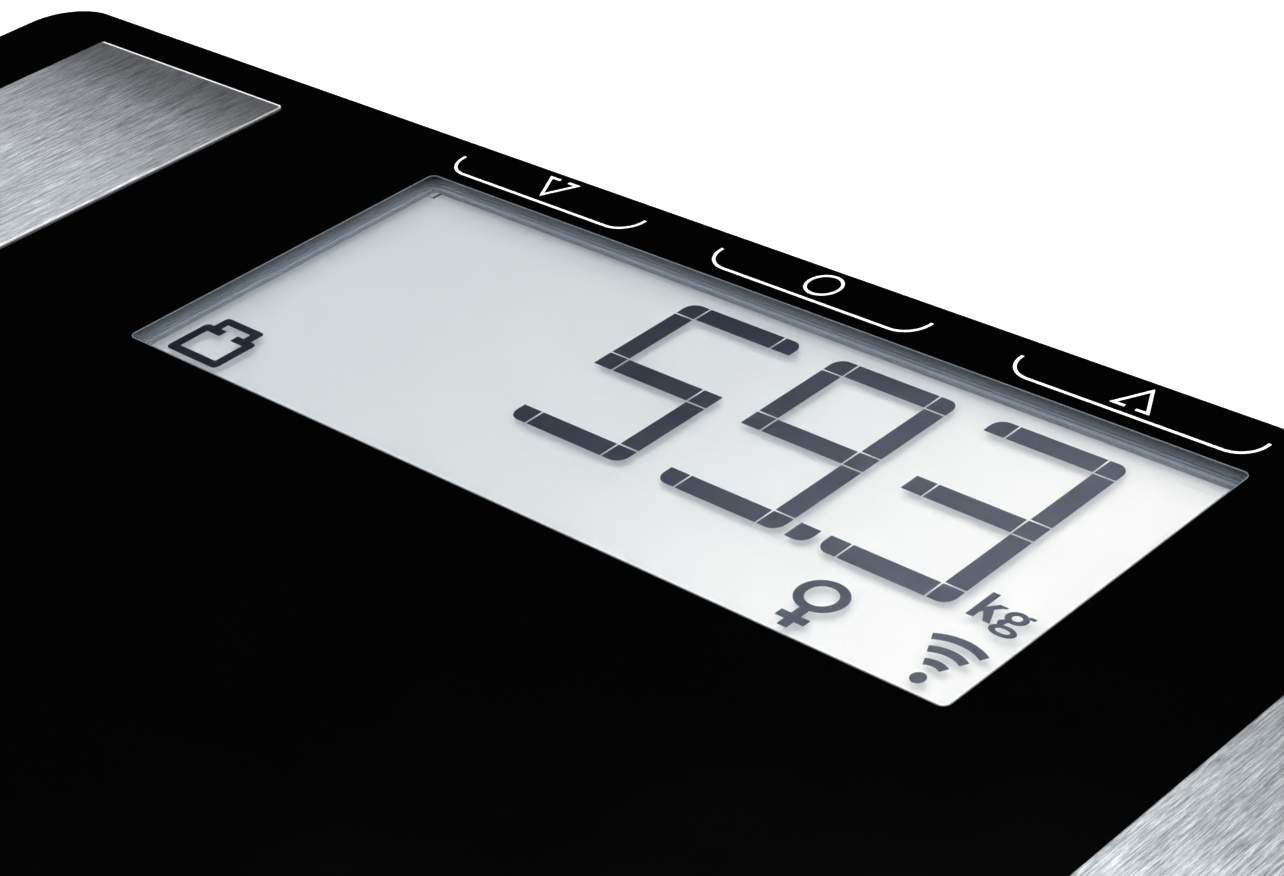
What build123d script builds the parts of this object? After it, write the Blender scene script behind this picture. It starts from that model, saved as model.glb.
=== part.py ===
from build123d import *
import math
import os

# Digital bathroom scale with a glass platform, body-analysis electrodes and a display.
# Millimetres. The origin lies on the floor under the middle of the platform.
# +X is the reader's right, +Y points to the display edge, +Z is up.

os.makedirs("parts", exist_ok=True)

# ------------------------------------------------------------------ driving dimensions
PLATE_SIDE = 300.0
PLATE_CORNER = 8.5
GLASS_TOP = 24.0
GLASS_THICK = 5.0
GLASS_BEVEL = 0.6
PRINT_THICK = 0.06
LEGEND_THICK = 0.03
FIT = 0.2

WINDOW_X = 4.5
WINDOW_Y = 115.0
WINDOW_WIDTH = 127.0
WINDOW_DEPTH = 50.0
WINDOW_CORNER = 0.8

KEY_PITCH = 46.2
KEY_MIDDLE_X = 3.6
KEY_WIDTH = 33.4
KEY_LINE_Y = 142.3
KEY_END_Y = 146.0
KEY_RADIUS = 3.6
KEY_SYMBOL_Y = 145.9
KEY_SYMBOL_WIDTH = 5.3
KEY_SYMBOL_HEIGHT = 4.7
KEY_RING_RADIUS = 2.45
KEY_STROKE = 0.37
KEY_GAP = 1.5

ELECTRODE_THICK = 0.3
ELECTRODE_X = 112.9
ELECTRODE_WIDTH = 40.75
ELECTRODE_REAR_Y = 142.6
ELECTRODE_SPLIT = 9.0
ELECTRODE_CORNER = 0.6
ELECTRODE_EDGE = 0.2
STUD_Y = 22.0
STUD_RADIUS = 1.5
STUD_HOLE = 2.6
STUD_END_Z = 14.6
STUD_PLAY = 0.02
TAG_THICK = 0.5
TAG_RADIUS = 3.6
BARREL_RADIUS = 1.1
BARREL_START = 3.2
BARREL_LENGTH = 6.0
NUT_RADIUS = 3.1
NUT_HEIGHT = 2.0

TRAY_SIDE = 298.0
TRAY_CORNER = 7.5
TRAY_FLOOR_Z = 4.0
TRAY_TOP_Z = 18.8
TRAY_FLOOR = 2.0
TRAY_WALL = 2.2
TRAY_TAPER = 22.0
RIM_WIDTH = 8.0
RIM_THICK = 1.4

FOOT_OFFSET = 106.0
FOOT_RADIUS = 22.3
FOOT_HOLE = 22.7
LUG_RADIUS = 25.0
SOLE_RADIUS = 20.2
SOLE_THICK = 2.2
SOCKET_INNER = 25.4
SOCKET_OUTER = 27.4
SOCKET_TOP_Z = 15.0
LEDGE_Z = 9.3
CELL_SIDE = 34.0
CELL_Z = 11.5
CELL_THICK = 2.0
CAP_THICK = 2.0
CAP_SCREW_OFFSET = 31.0

FRAME_WIDTH = 137.6
FRAME_DEPTH = 57.6
FRAME_LIP_Z = 18.45
BOARD_Z = 13.0
BOARD_THICK = 1.2
LAYER_GAP = 0.01
LCD_GLASS_WIDTH = 130.0
LCD_GLASS_DEPTH = 55.2
LCD_REAR_Z = 17.5
REFLECTOR_THICK = 0.15
REFLECTOR_SIZE = (127.4, 52.2)
REFLECTOR_TABS = (129.9, 49.4)
ZEBRA_OFFSET = 26.8
ZEBRA_DEPTH = 1.3
FRAME_GROOVES = [(0.5, 0.75), (1.1, 1.35)]
FRAME_GROOVE_DEPTH = 0.15
FRAME_SCREW_X = 66.6
FRAME_SCREW_Y = 26.8

DIGIT_WIDTH = 18.3
DIGIT_HEIGHT = 31.3
DIGIT_STROKE = 3.1
DIGIT_PITCH = 23.4
DIGIT_GAP = 0.28
DIGIT_CORNER = 1.6
DIGIT_FIRST_X = -10.3
DIGIT_BASE_Y = 106.2
SEGMENT_THICK = 0.04
FIVE = ("top", "high_left", "middle", "low_right", "bottom")
NINE = ("top", "high_left", "high_right", "middle", "low_right", "bottom")
THREE = ("top", "high_right", "middle", "low_right", "bottom")

BAY_Y = 47.0
BAY_LENGTH = 50.5
BAY_DEPTH = 34.0
BAY_TOP_Z = 17.0
BAY_REAR_Y = 71.0
BAY_OUTER_X = 30.5
AAA_RADIUS = 5.25
AAA_LENGTH = 44.5
AAA_Z = 11.45
AAA_PITCH = 11.2
AAA_NUB = 1.2
CONTACT_THICK = 0.3
SPRING_WIRE = 0.3
DOOR_AXIS_Y = 27.7
DOOR_AXIS_Z = 5.6
DOOR_REAR_Y = 67.0
DOOR_WIDTH = 56.0
DOOR_THICK = 1.8
DOOR_BARREL = 1.6
DOOR_PLAY = 0.3
PIN_RADIUS = 0.8
PIN_END_X = 29.4
LATCH_WIDTH = 12.8

BUTTON_X = 45.0
BUTTON_Y = 104.0
BUTTON_RADIUS = 6.0
BUTTON_HOLE = 6.25
BUTTON_LOW_Z = 4.3
BUTTON_FLANGE_Z = 6.15
PLUNGER_LOW_Z = 9.0
SWITCH_LOW_Z = 9.7

TOUCH_Y = 145.4
TOUCH_DEPTH = 2.9
TOUCH_TAIL_X = 75.2
TOUCH_TAIL_WIDTH = 4.0

LEAD_RADIUS = 1.2
CORE_RADIUS = 0.7
LEAD_Z = 8.6
CONNECTOR_FRONT_Y = 87.5
CONNECTOR_DEPTH = 6.0
CONNECTOR_LOW_Z = 7.4
LOAD_PLUGS = {"front_left": -36.0, "front_right": 38.0}
SIDE_PLUGS = {"rear_left": -57.0, "rear_right": 63.0}
SIDE_PLUG_Y = 103.0
CORE_PLUGS = {"rear_left": -50.0, "front_left": -46.0, "front_right": 48.0, "rear_right": 52.0}
SUPPLY_PLUG_X = (-14.0, -10.0)

GLASS_UNDER = GLASS_TOP - GLASS_THICK
PRINT_TOP = GLASS_TOP + PRINT_THICK
TRAY_INNER_Z = TRAY_FLOOR_Z + TRAY_FLOOR
BOARD_TOP_Z = BOARD_Z + BOARD_THICK
CELL_TOP_Z = CELL_Z + CELL_THICK
BARREL_Z = GLASS_UNDER - BARREL_RADIUS - 0.05
FRAME_TOP_Z = GLASS_UNDER - 0.05
SEGMENT_TOP = FRAME_LIP_Z - LAYER_GAP
SEGMENT_LOW = SEGMENT_TOP - SEGMENT_THICK
LCD_REAR_TOP_Z = SEGMENT_LOW - LAYER_GAP
REFLECTOR_TOP_Z = LCD_REAR_Z - LAYER_GAP
BAY_FRONT_Y = DOOR_AXIS_Y - 4.4
CELL_END_GAP = BAY_LENGTH - 2 * CONTACT_THICK - AAA_LENGTH
CORNERS = [
    ("rear_left", -1, 1),
    ("rear_right", 1, 1),
    ("front_left", -1, -1),
    ("front_right", 1, -1),
]


# ------------------------------------------------------------------ helpers
def slab(size_x, size_y, low, high, x=0.0, y=0.0, corner=0.0):
    """A flat block, with rounded upright corners if corner is given."""
    outline = RectangleRounded(size_x, size_y, corner) if corner else Rectangle(size_x, size_y)
    return Pos(x, y, low) * extrude(outline, high - low)


def disc(radius, low, high, x=0.0, y=0.0):
    """An upright cylinder between two heights."""
    return Pos(x, y, low) * extrude(Circle(radius), high - low)


def tube(outer, inner, low, high, x=0.0, y=0.0):
    """An upright ring between two heights."""
    return disc(outer, low, high, x, y) - disc(inner, low, high, x, y)


def box_between(low, high):
    """A block from its lowest to its highest corner."""
    size = [b - a for a, b in zip(low, high)]
    return Pos(*low) * Box(*size, align=(Align.MIN, Align.MIN, Align.MIN))


def rod_x(radius, x_low, x_high, y, z):
    """A round bar along X."""
    return Pos(x_low, y, z) * Rot(0, 90, 0) * extrude(Circle(radius), x_high - x_low)


def write(name, *pieces):
    """Write one node: a lone solid, or a group of separate ones."""
    solids = [s for piece in pieces for s in piece.solids()]
    shape = solids[0] if len(solids) == 1 else Compound(children=solids)
    export_step(shape, f"parts/{name}.step")


def corner_radii(route, largest):
    """One arc radius for each corner of a route: as large as its two runs allow."""
    radii = []
    for before, at, after in zip(route, route[1:], route[2:]):
        inward = Vector(*at) - Vector(*before)
        outward = Vector(*after) - Vector(*at)
        half_turn = math.radians(inward.get_angle(outward)) / 2
        room = 0.45 * min(inward.length, outward.length) / math.tan(half_turn)
        radii.append(min(room, largest))
    return radii


def lead(name, route, radius, largest=25.0):
    """A round lead along straight runs joined by tangent arcs."""
    radii = corner_radii(route, largest)
    path = FilletPolyline(*route, radius=radii)
    start = Plane(origin=path @ 0, z_dir=path % 0)
    solid = sweep(start * Circle(radius), path=path)
    expected = math.pi * radius**2 * path.length
    print(name, "radii", [round(r, 1) for r in radii], "length", round(path.length, 1),
          "volume ratio", round(solid.volume / expected, 4))
    return solid


def screw(x, y, head_z, head_radius, head_height, shank_radius, shank_length, point_up=False):
    """A cross-recessed screw with its head's bearing face at head_z."""
    head = disc(head_radius, 0, head_height)
    head = chamfer(head.edges().sort_by(Axis.Z)[-1], head_height * 0.35)
    cross = Box(head_radius * 1.2, 0.5, head_height) + Box(0.5, head_radius * 1.2, head_height)
    shank = disc(shank_radius, -shank_length, 0)
    solid = head + shank - Pos(0, 0, head_height) * cross
    if point_up:
        solid = Rot(180, 0, 0) * solid
    return Pos(x, y, head_z) * solid


# ------------------------------------------------------------------ platform and print
def platform_glass():
    glass = slab(PLATE_SIDE, PLATE_SIDE, GLASS_UNDER, GLASS_TOP, corner=PLATE_CORNER)
    rims = glass.faces().sort_by(Axis.Z)
    glass = chamfer(rims[0].edges() + rims[-1].edges(), GLASS_BEVEL)
    for _, side, end in CORNERS:
        glass -= disc(STUD_HOLE, GLASS_UNDER, GLASS_TOP, side * ELECTRODE_X, end * STUD_Y)
    return glass


def black_print():
    side = PLATE_SIDE - 2 * GLASS_BEVEL
    mask = slab(side, side, GLASS_TOP, PRINT_TOP, corner=PLATE_CORNER - GLASS_BEVEL)
    mask -= slab(WINDOW_WIDTH, WINDOW_DEPTH, GLASS_TOP, PRINT_TOP,
                 WINDOW_X, WINDOW_Y, WINDOW_CORNER)
    for _, side_sign, end in CORNERS:
        mask -= disc(STUD_HOLE, GLASS_TOP, PRINT_TOP, side_sign * ELECTRODE_X, end * STUD_Y)
    return mask


def key_bracket(x):
    """The line under a touch key, with its two ends turned up."""
    height = 2 * (KEY_END_Y - KEY_LINE_Y)
    outer = RectangleRounded(KEY_WIDTH, height + KEY_STROKE, KEY_RADIUS)
    inner = RectangleRounded(KEY_WIDTH - 2 * KEY_STROKE, height - KEY_STROKE,
                             KEY_RADIUS - KEY_STROKE)
    upper = Pos(0, height / 2) * Rectangle(KEY_WIDTH + 1, height)
    return Pos(x, KEY_END_Y) * (outer - inner - upper)


def arrow_symbol(x, way):
    """An open triangle whose tip points along +Y or -Y and whose base has a gap."""
    half = KEY_SYMBOL_WIDTH / 2
    rise = KEY_SYMBOL_HEIGHT / 2
    outer = Polygon((-half, -rise), (half, -rise), (0, rise), align=None)
    slope = math.hypot(2 * rise, half) / (2 * rise)
    low = -rise + KEY_STROKE
    high = rise - KEY_STROKE * slope * 2 * rise / half
    inset = half * (high - low) / (2 * rise)
    inner = Polygon((-inset, low), (inset, low), (0, high), align=None)
    gap = Pos(0, -rise) * Rectangle(KEY_GAP, 2 * KEY_STROKE)
    symbol = outer - inner - gap
    turn = 0 if way > 0 else 180
    return Pos(x, KEY_SYMBOL_Y) * Rot(0, 0, turn) * symbol


def key_prints():
    ring = Circle(KEY_RING_RADIUS) - Circle(KEY_RING_RADIUS - KEY_STROKE)
    left = KEY_MIDDLE_X - KEY_PITCH
    right = KEY_MIDDLE_X + KEY_PITCH
    flat = [key_bracket(x) for x in (left, KEY_MIDDLE_X, right)]
    flat += [arrow_symbol(left, -1), Pos(KEY_MIDDLE_X, KEY_SYMBOL_Y) * ring,
             arrow_symbol(right, 1)]
    return [Pos(0, 0, PRINT_TOP) * extrude(shape, LEGEND_THICK, dir=(0, 0, 1)) for shape in flat]


# ------------------------------------------------------------------ electrodes
def electrode(side, end):
    length = ELECTRODE_REAR_Y - ELECTRODE_SPLIT / 2
    middle = end * (ELECTRODE_SPLIT / 2 + length / 2)
    sheet = slab(ELECTRODE_WIDTH, length, PRINT_TOP, PRINT_TOP + ELECTRODE_THICK,
                 side * ELECTRODE_X, middle, ELECTRODE_CORNER)
    return fillet(sheet.faces().sort_by(Axis.Z)[-1].edges(), ELECTRODE_EDGE)


def electrode_studs():
    top = PRINT_TOP
    return [disc(STUD_RADIUS, STUD_END_Z, top, side * ELECTRODE_X, end * STUD_Y)
            for _, side, end in CORNERS]


def electrode_bushes():
    """Sleeves that centre each stud in its hole through the glass."""
    return [tube(STUD_HOLE - 0.05, STUD_RADIUS + 0.05, GLASS_UNDER, GLASS_TOP,
                 side * ELECTRODE_X, end * STUD_Y) for _, side, end in CORNERS]


def electrode_terminals():
    """Ring tags under the glass, each with a crimped barrel for its lead."""
    tags = []
    for _, side, end in CORNERS:
        tag = tube(TAG_RADIUS, STUD_RADIUS + STUD_PLAY, GLASS_UNDER - TAG_THICK, GLASS_UNDER)
        barrel = rod_x(BARREL_RADIUS, -BARREL_START - BARREL_LENGTH, -BARREL_START, 0, BARREL_Z)
        turn = 0 if side > 0 else 180
        tags.append(Pos(side * ELECTRODE_X, end * STUD_Y) * Rot(0, 0, turn) * (tag + barrel))
    return tags


def electrode_nuts():
    """The nuts that clamp each tag and stud. They are small enough to clear the barrels."""
    nut_low = GLASS_UNDER - TAG_THICK - NUT_HEIGHT
    hexagon = RegularPolygon(NUT_RADIUS, 6) - Circle(STUD_RADIUS + STUD_PLAY)
    nut = extrude(hexagon, NUT_HEIGHT, dir=(0, 0, 1))
    return [Pos(side * ELECTRODE_X, end * STUD_Y, nut_low) * nut for _, side, end in CORNERS]


# ------------------------------------------------------------------ display
def lcd_digit(x, lit):
    """One large digit: six corner blocks and the bars named in lit."""
    half_gap = DIGIT_GAP / 2
    cols = [x, x + DIGIT_WIDTH - DIGIT_STROKE]
    middle = (DIGIT_HEIGHT - DIGIT_STROKE) / 2
    rows = [DIGIT_BASE_Y + k * middle for k in range(3)]
    blocks = []
    for col in cols:
        for row in rows:
            blocks.append(Pos(col + DIGIT_STROKE / 2, row + DIGIT_STROKE / 2)
                          * Rectangle(DIGIT_STROKE - DIGIT_GAP, DIGIT_STROKE - DIGIT_GAP))
    bar_x = x + DIGIT_WIDTH / 2
    bar_length = DIGIT_WIDTH - 2 * DIGIT_STROKE - DIGIT_GAP
    post_length = middle - DIGIT_STROKE - DIGIT_GAP
    flat_bars = {"bottom": rows[0], "middle": rows[1], "top": rows[2]}
    posts = {"low_left": (0, 0), "low_right": (1, 0), "high_left": (0, 1), "high_right": (1, 1)}
    for name in lit:
        if name in flat_bars:
            blocks.append(Pos(bar_x, flat_bars[name] + DIGIT_STROKE / 2)
                          * Rectangle(bar_length, DIGIT_STROKE - DIGIT_GAP))
        else:
            col, row = posts[name]
            low = rows[row] + DIGIT_STROKE + half_gap
            blocks.append(Pos(cols[col] + DIGIT_STROKE / 2, low + post_length / 2)
                          * Rectangle(DIGIT_STROKE - DIGIT_GAP, post_length))
    outline = Pos(bar_x, DIGIT_BASE_Y + DIGIT_HEIGHT / 2) * RectangleRounded(
        DIGIT_WIDTH - DIGIT_GAP, DIGIT_HEIGHT - DIGIT_GAP, DIGIT_CORNER)
    return [block & outline for block in blocks]


def flat_box(x_low, x_high, y_low, y_high):
    """A flat rectangle between two corners."""
    return Pos((x_low + x_high) / 2, (y_low + y_high) / 2) * Rectangle(x_high - x_low, y_high - y_low)


def decimal_point():
    """A square point with its lower right corner rounded."""
    left = DIGIT_FIRST_X + 2 * DIGIT_PITCH - 4.1
    size = DIGIT_STROKE - DIGIT_GAP
    low = DIGIT_BASE_Y + DIGIT_GAP / 2
    square = flat_box(left, left + size, low, low + size)
    round_all = Pos(left + size / 2 - 1.0, low + size / 2 + 1.0) * RectangleRounded(
        size + 2.0, size + 2.0, DIGIT_CORNER)
    return square & round_all


def weight_icon():
    """An outlined weight with its handle, low on the left, about the middle of its base."""
    body = Pos(0, 3.35) * RectangleRounded(9.5, 6.7, 0.7)
    handle = Pos(0, 6.5) * RectangleRounded(7.1, 5.0, 0.6)
    hollow = flat_box(-3.35, 3.35, 1.25, 5.45)
    neck = flat_box(-1.05, 1.05, 5.4, 6.8)
    bridge = flat_box(-2.15, 2.15, 6.7, 7.8)
    return Pos(-52.45, 93.4) * (body + handle - hollow - neck - bridge)


def profile_icon():
    """The symbol of the stored user: a wide ring on a cross."""
    ring = Ellipse(3.2, 2.78) - Ellipse(1.95, 1.75)
    stem = flat_box(-0.65, 0.65, -6.25, -2.5)
    bar = flat_box(-1.95, 1.95, -5.1, -4.0)
    return Pos(43.2, 100.15) * (ring + stem + bar)


def wireless_icon():
    """A plain radio symbol: a dot under three arcs."""
    line = 1.05
    shapes = [Circle(0.9)]
    wedge = Polygon((0, 0), (-5, 9.2), (5, 9.2), align=None)
    for radius in (2.75, 4.9, 7.05):
        ring = Circle(radius + line / 2) - Circle(radius - line / 2)
        shapes.append(ring & wedge)
    return [Pos(60.1, 95.2) * shape for shape in shapes]


def unit_letters():
    """The letters k and g of the unit, from the left end of their baseline."""
    stem = flat_box(0, 0.95, 0, 4.55)
    arm = Polygon((0.9, 1.05), (0.9, 2.0), (2.0, 3.2), (3.05, 3.2), (2.95, 2.95), (2.55, 2.8),
                  (1.35, 1.5), align=None)
    leg = Polygon((1.15, 1.45), (2.05, 2.1), (3.1, 0), (2.2, 0), align=None)
    g = Pos(4.85, 2.25) * Ellipse(1.4, 1.05) + Pos(4.95, -0.25) * Ellipse(1.7, 0.9)
    g += Polygon((3.45, 1.1), (4.1, 1.6), (4.5, 1.25), (4.3, 0.45), (3.9, 0.2), (3.5, 0.65), align=None)
    g += flat_box(5.8, 6.6, 2.85, 3.25)
    g -= Pos(4.85, 2.25) * Ellipse(0.62, 0.5)
    g -= Pos(4.95, -0.25) * Ellipse(0.92, 0.4)
    return [Pos(57.0, 106.35) * letter for letter in (stem + arm + leg, g)]


def lcd_segments():
    flat = lcd_digit(DIGIT_FIRST_X, FIVE)
    flat += lcd_digit(DIGIT_FIRST_X + DIGIT_PITCH, NINE)
    flat += lcd_digit(DIGIT_FIRST_X + 2 * DIGIT_PITCH, THREE)
    flat += [decimal_point(), weight_icon(), profile_icon()]
    flat += wireless_icon() + unit_letters()
    return [Pos(0, 0, SEGMENT_LOW) * extrude(shape, SEGMENT_THICK, dir=(0, 0, 1))
            for shape in flat]


def lcd_front_glass():
    return slab(WINDOW_WIDTH - 0.2, WINDOW_DEPTH - 0.2, FRAME_LIP_Z, FRAME_TOP_Z,
                WINDOW_X, WINDOW_Y, WINDOW_CORNER)


def lcd_rear_glass():
    return slab(LCD_GLASS_WIDTH, LCD_GLASS_DEPTH, LCD_REAR_Z, LCD_REAR_TOP_Z, WINDOW_X, WINDOW_Y)


def lcd_reflector():
    """The white film behind the display, which runs under the lip and between the screw posts."""
    low = REFLECTOR_TOP_Z - REFLECTOR_THICK
    film = slab(*REFLECTOR_SIZE, low, REFLECTOR_TOP_Z, WINDOW_X, WINDOW_Y)
    return film + slab(*REFLECTOR_TABS, low, REFLECTOR_TOP_Z, WINDOW_X, WINDOW_Y)


def zebra_strips():
    return [slab(120, ZEBRA_DEPTH, BOARD_TOP_Z, LCD_REAR_Z, WINDOW_X, WINDOW_Y + end * ZEBRA_OFFSET)
            for end in (-1, 1)]


def frame_screw_places():
    return [(WINDOW_X + side * FRAME_SCREW_X, WINDOW_Y + end * FRAME_SCREW_Y)
            for _, side, end in CORNERS]


def grown_window(margin, low, high):
    """A block shaped like the window and larger by margin all round."""
    return slab(WINDOW_WIDTH + 2 * margin, WINDOW_DEPTH + 2 * margin, low, high,
                WINDOW_X, WINDOW_Y, WINDOW_CORNER + margin)


def display_frame():
    """The frame round the display, with fine grooves in the face under the glass."""
    frame = slab(FRAME_WIDTH, FRAME_DEPTH, BOARD_TOP_Z, FRAME_TOP_Z, WINDOW_X, WINDOW_Y, 1.0)
    frame -= slab(LCD_GLASS_WIDTH + 2 * FIT, LCD_GLASS_DEPTH + 2 * FIT, BOARD_TOP_Z,
                  FRAME_LIP_Z, WINDOW_X, WINDOW_Y)
    frame -= grown_window(0, FRAME_LIP_Z, FRAME_TOP_Z)
    for inner, outer in FRAME_GROOVES:
        groove_low = FRAME_TOP_Z - FRAME_GROOVE_DEPTH
        frame -= (grown_window(outer, groove_low, FRAME_TOP_Z)
                  - grown_window(inner, groove_low, FRAME_TOP_Z))
    for x, y in frame_screw_places():
        frame += slab(5.0, 4.0, BOARD_TOP_Z, LCD_REAR_Z - LAYER_GAP, x, y)
        frame -= disc(0.85, BOARD_TOP_Z, LCD_REAR_Z - 0.4, x, y)
    return frame


# ------------------------------------------------------------------ circuit board
def main_board():
    board = slab(FRAME_WIDTH - 0.6, FRAME_DEPTH - 0.6, BOARD_Z, BOARD_TOP_Z,
                 WINDOW_X, WINDOW_Y, 1.0)
    for x, y in frame_screw_places():
        board -= disc(1.0, BOARD_Z, BOARD_TOP_Z, x, y)
    return board


def board_screws():
    return [screw(x, y, BOARD_Z, 1.9, 1.2, 0.84, 3.6, point_up=True)
            for x, y in frame_screw_places()]


def controller_chip():
    body = slab(10, 10, BOARD_Z - 1.5, BOARD_Z - 0.1, -8, 114)
    legs = []
    for k in range(10):
        along = (k - 4.5) * 0.85
        legs.append(slab(12.4, 0.35, BOARD_Z - 0.3, BOARD_Z, -8, 114 + along))
        legs.append(slab(0.35, 12.4, BOARD_Z - 0.3, BOARD_Z, -8 + along, 114))
    chip = body
    for leg in legs:
        chip += leg
    return chip


def radio_module():
    base = slab(20, 13, BOARD_Z - 0.8, BOARD_Z, -44, 122)
    can = slab(12.5, 11, BOARD_Z - 2.4, BOARD_Z - 0.8, -40.8, 122, 0.6)
    return base + can


def timing_crystal():
    can = slab(11, 4.6, BOARD_Z - 3.4, BOARD_Z - 0.4, -8, 127, 2.2)
    flange = slab(11.8, 5.4, BOARD_Z - 0.4, BOARD_Z, -8, 127, 2.6)
    return can + flange


def board_passives():
    """Chip resistors and capacitors in rows, and three can capacitors."""
    pieces = []
    for row in range(3):
        for k in range(6):
            pieces.append(slab(2.0, 1.2, BOARD_Z - 0.7, BOARD_Z, 6 + 3.4 * k, 108 + 4.5 * row))
    for k in range(3):
        can = disc(2.5, BOARD_Z - 4.6, BOARD_Z, -30 + 7.5 * k, 100)
        pieces.append(chamfer(can.edges().sort_by(Axis.Z)[0], 0.3))
    return pieces


def board_socket(x, y, width, turn=0):
    """A board socket at its mouth's middle. The mouth faces -Y before it is turned."""
    shell = box_between((-width / 2, 0, CONNECTOR_LOW_Z), (width / 2, CONNECTOR_DEPTH, BOARD_Z))
    notch = box_between((-width / 4, 0, BOARD_Z - 1.8), (width / 4, 1.2, BOARD_Z))
    return Pos(x, y) * Rot(0, 0, turn) * (shell - notch)


def board_sockets():
    front = [(x, 6.5) for x in LOAD_PLUGS.values()]
    front.append((sum(SUPPLY_PLUG_X) / 2, 7.4))
    for left, right in (("rear_left", "front_left"), ("front_right", "rear_right")):
        front.append(((CORE_PLUGS[left] + CORE_PLUGS[right]) / 2, 7.4))
    sockets = [board_socket(x, CONNECTOR_FRONT_Y, width) for x, width in front]
    for x in SIDE_PLUGS.values():
        sockets.append(board_socket(x, SIDE_PLUG_Y, 6.5, 90 if x > 0 else -90))
    return sockets


def touch_film():
    """The film of the three touch keys, with a tail that passes the frame and ends under the board."""
    film = 0.15
    z_low = GLASS_UNDER - film
    tail_end_x = TOUCH_TAIL_X + TOUCH_TAIL_WIDTH
    tail_y = TOUCH_Y - 12.0
    strip = box_between((KEY_MIDDLE_X - KEY_PITCH - 6, TOUCH_Y - TOUCH_DEPTH / 2, z_low),
                        (tail_end_x, TOUCH_Y + TOUCH_DEPTH / 2, GLASS_UNDER))
    tail = box_between((TOUCH_TAIL_X, tail_y, z_low), (tail_end_x, TOUCH_Y, GLASS_UNDER))
    drop = box_between((TOUCH_TAIL_X, tail_y, BOARD_Z - film), (TOUCH_TAIL_X + film, tail_y + 4.0, z_low))
    foot = box_between((TOUCH_TAIL_X - 8.0, tail_y, BOARD_Z - film),
                       (TOUCH_TAIL_X, tail_y + 4.0, BOARD_Z))
    return strip + tail + drop + foot


def touch_pads():
    return [slab(14, TOUCH_DEPTH - 0.6, GLASS_UNDER - 0.25, GLASS_UNDER - 0.15,
                 KEY_MIDDLE_X + k * KEY_PITCH, TOUCH_Y) for k in (-1, 0, 1)]


# ------------------------------------------------------------------ tray
def socket_of_foot(x, y, side):
    """The round socket of one foot: ring, four ledges, a notch for the lead and two screw posts."""
    ring = tube(SOCKET_OUTER, SOCKET_INNER, TRAY_INNER_Z, SOCKET_TOP_Z)
    for k in range(4):
        ring += Rot(0, 0, 45 + 90 * k) * slab(6.2, 9.0, LEDGE_Z, CELL_Z, 22.6)
    ring -= box_between((-SOCKET_OUTER - 1, -2.2, CELL_Z - 0.9), (-SOCKET_INNER + 1.2, 2.2, SOCKET_TOP_Z))
    for end in (-1, 1):
        post = disc(3.5, TRAY_INNER_Z, SOCKET_TOP_Z, 0, end * CAP_SCREW_OFFSET)
        web = box_between((-1.2, end * 29 - 2.2, TRAY_INNER_Z), (1.2, end * 29 + 2.2, 13.0))
        ring += post + (web - disc(SOCKET_INNER, 0, GLASS_TOP))
        ring -= disc(1.05, TRAY_INNER_Z + 1.0, SOCKET_TOP_Z, 0, end * CAP_SCREW_OFFSET)
    turn = 0 if side > 0 else 180
    return Pos(x, y) * Rot(0, 0, turn) * ring


def battery_bay():
    """The block that holds the cells, open underneath for the door."""
    outer = box_between((-BAY_OUTER_X, BAY_FRONT_Y, TRAY_FLOOR_Z),
                        (BAY_OUTER_X, BAY_REAR_Y, BAY_TOP_Z + 1.4))
    room = slab(BAY_LENGTH, BAY_DEPTH, TRAY_FLOOR_Z, BAY_TOP_Z, 0, BAY_Y)
    half = DOOR_WIDTH / 2 + DOOR_PLAY
    channel_radius = DOOR_BARREL + DOOR_PLAY
    below = TRAY_FLOOR_Z - 1
    pocket_half = LATCH_WIDTH / 2 + 0.9
    recess = box_between((-half, DOOR_AXIS_Y, below), (half, DOOR_REAR_Y + DOOR_PLAY, TRAY_INNER_Z))
    channel = rod_x(channel_radius, -half, half, DOOR_AXIS_Y, DOOR_AXIS_Z)
    mouth = box_between((-half, DOOR_AXIS_Y - channel_radius, below), (half, DOOR_AXIS_Y, DOOR_AXIS_Z))
    pins = rod_x(PIN_RADIUS + 0.04, -PIN_END_X - FIT, PIN_END_X + FIT, DOOR_AXIS_Y, DOOR_AXIS_Z)
    latch_pocket = box_between((-pocket_half, DOOR_REAR_Y - 2.4, below),
                               (pocket_half, DOOR_REAR_Y + DOOR_PLAY, 9.8))
    nose_groove = box_between((-pocket_half, DOOR_REAR_Y, 6.1), (pocket_half, DOOR_REAR_Y + 1.1, 7.7))
    return outer, [room, recess, channel, mouth, pins, latch_pocket, nose_groove]


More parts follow.
